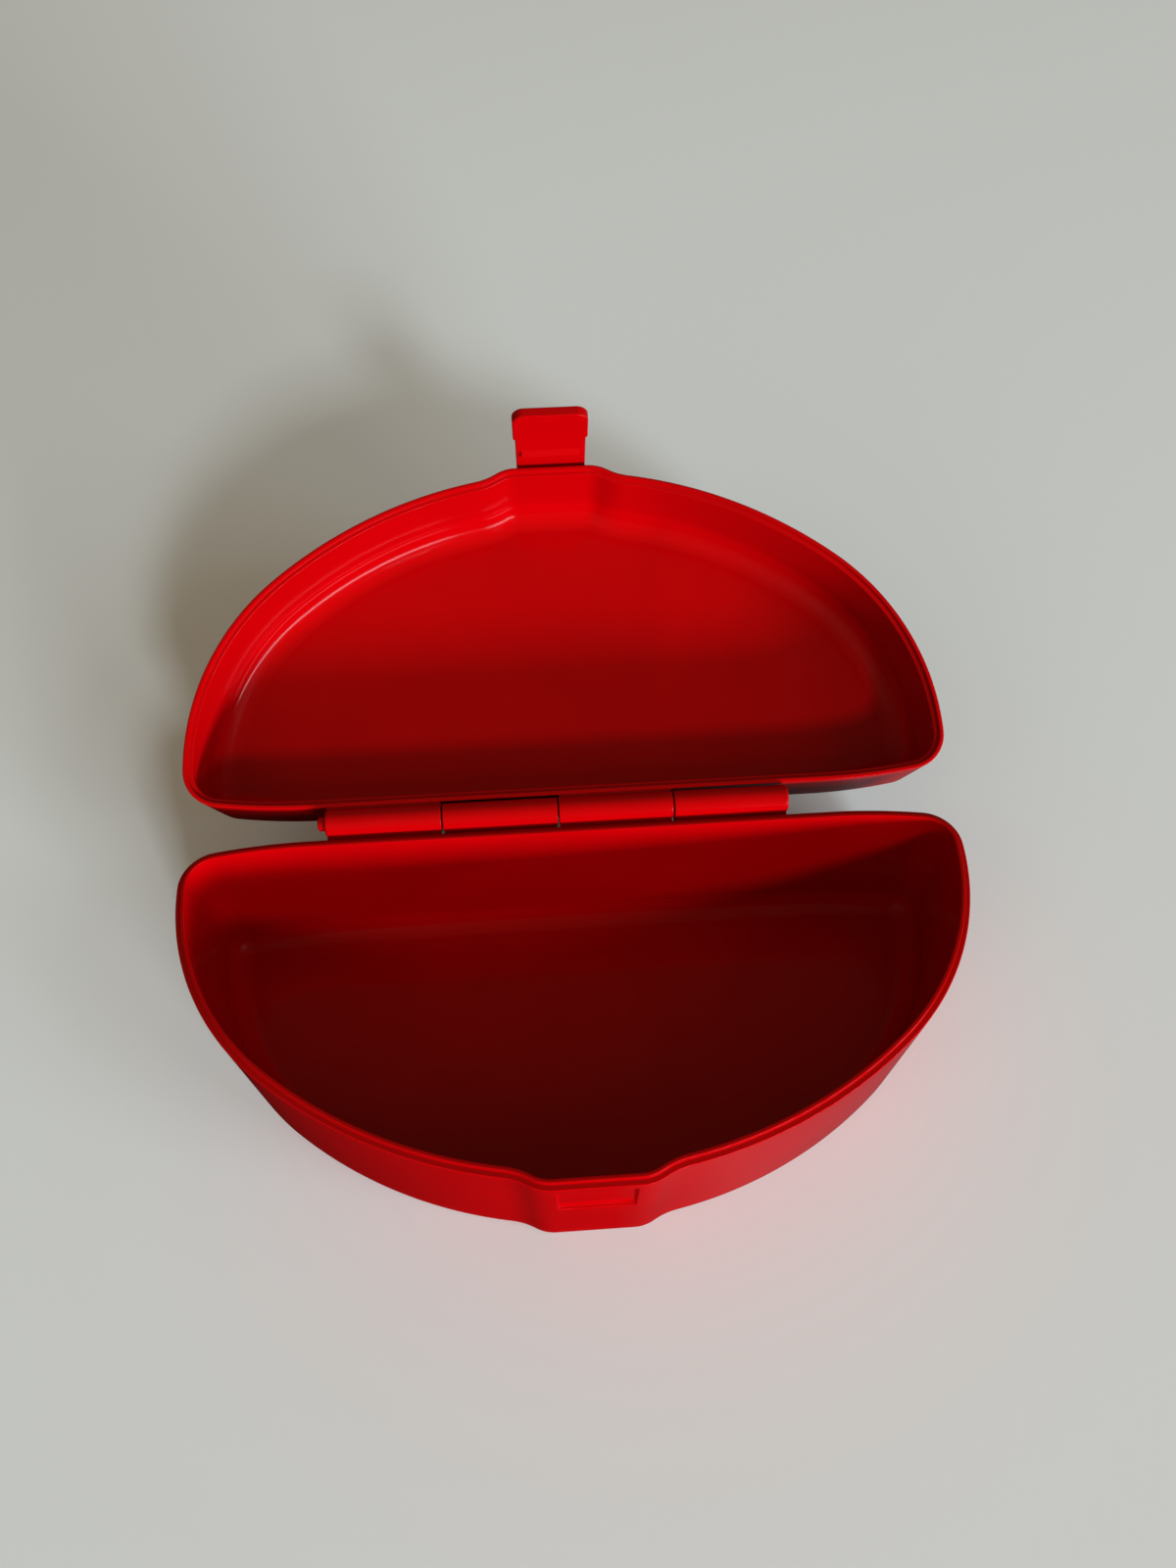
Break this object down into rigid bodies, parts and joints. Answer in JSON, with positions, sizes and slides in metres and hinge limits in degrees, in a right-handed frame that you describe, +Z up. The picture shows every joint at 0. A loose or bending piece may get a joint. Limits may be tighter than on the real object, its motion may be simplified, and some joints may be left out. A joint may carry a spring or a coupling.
{
  "type": "hinged snack box",
  "caption": "Half-moon hinged box of glossy moulded plastic with a deep base, a shallow lid on a pinned hinge and a swinging front clip that latches it shut.",
  "frame": {"origin": "middle of the base's flat underside", "axes": "+Z up, +X along the hinge, -Y towards the front boss, the open lid towards +Y"},
  "size_m": [0.19, 0.183, 0.1007],
  "materials": {
    "shell_plastic": "glossy injection-moulded red",
    "clip_plastic": "glossy injection-moulded red",
    "pin_plastic": "smooth extruded red rod"
  },
  "bodies": {
    "base": {"base_shell": "shell_plastic", "hinge_pin": "pin_plastic"},
    "lid": {"lid_shell": "shell_plastic", "latch_pin": "pin_plastic"},
    "clip": {"latch_clip": "clip_plastic"}
  },
  "joints": [
    {"name": "lid_hinge", "type": "hinge", "parent": "base", "child": "lid", "pos_m": [0, 0.04662, 0.0455], "axis": [1, 0, 0], "range_deg": [0, 158.2]},
    {"name": "clip_pivot", "type": "hinge", "parent": "lid", "child": "clip", "pos_m": [0, 0.13607, 0.07449], "axis": [-1, 0, 0], "range_deg": [-6, 84]}
  ]
}
